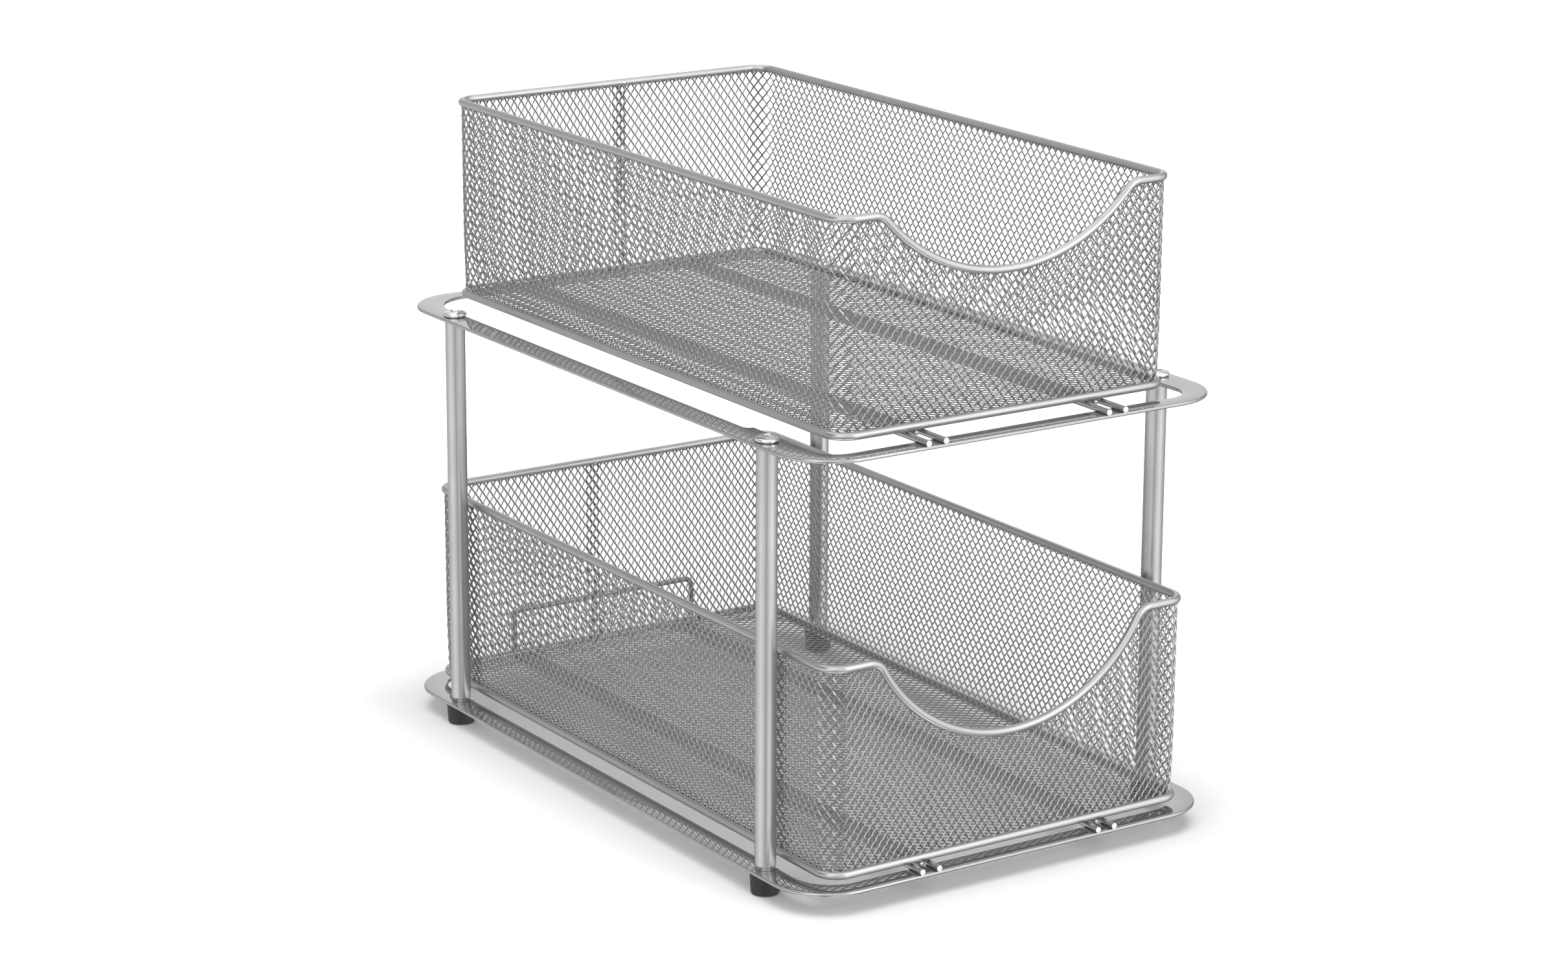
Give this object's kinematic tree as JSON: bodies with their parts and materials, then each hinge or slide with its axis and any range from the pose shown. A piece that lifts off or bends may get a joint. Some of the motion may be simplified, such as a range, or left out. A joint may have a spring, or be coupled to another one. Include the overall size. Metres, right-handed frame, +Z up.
{
  "type": "pull out cabinet basket",
  "caption": "Two-tier cabinet organiser: a frame of flat plates and round posts carries mesh baskets with a dipped front that slide out on wire rails.",
  "frame": {"origin": "on the floor under the middle of the frame, at the height of the rubber feet's lower faces", "axes": "+Z up; -Y is the front, where the rims dip and the baskets slide out; +X is the right side seen from the front"},
  "size_m": [0.302, 0.481, 0.407],
  "materials": {
    "plate_paint": "gloss silver paint",
    "tube_paint": "satin silver paint",
    "wire_paint": "satin silver paint",
    "rail_wire": "satin silver paint, bright where cut",
    "mesh_paint": "satin silver paint on expanded steel",
    "chrome": "polished",
    "zinc": "zinc plated",
    "rubber": "matte black"
  },
  "bodies": {
    "frame": {"lower_plate": "plate_paint", "upper_plate": "plate_paint", "post_front_left": "tube_paint", "post_front_right": "tube_paint", "post_rear_left": "tube_paint", "post_rear_right": "tube_paint", "post_inserts": "zinc", "cap_screws": "chrome", "foot_studs": "zinc", "foot_front_left": "rubber", "foot_front_right": "rubber", "foot_rear_left": "rubber", "foot_rear_right": "rubber", "lower_rail_left": "rail_wire", "lower_rail_right": "rail_wire", "lower_outer_rails_and_stop": "rail_wire", "upper_rail_left_outer": "rail_wire", "upper_rail_left_inner": "rail_wire", "upper_rail_right_inner": "rail_wire", "upper_rail_right_outer": "rail_wire"},
    "upper_basket": {"upper_rim": "wire_paint", "upper_base_ring": "wire_paint", "upper_wall_mesh": "mesh_paint", "upper_floor_mesh": "mesh_paint", "upper_runner_left": "rail_wire", "upper_runner_right": "rail_wire"},
    "lower_basket": {"lower_rim": "wire_paint", "lower_base_ring": "wire_paint", "lower_wall_mesh": "mesh_paint", "lower_floor_mesh": "mesh_paint", "lower_runner_left": "rail_wire", "lower_runner_right": "rail_wire"}
  },
  "joints": [
    {"name": "upper_basket_slide", "type": "slide", "parent": "frame", "child": "upper_basket", "axis": [0, -1, 0], "range_m": [0, 0.22]},
    {"name": "lower_basket_slide", "type": "slide", "parent": "frame", "child": "lower_basket", "axis": [0, -1, 0], "range_m": [0, 0.22]}
  ]
}
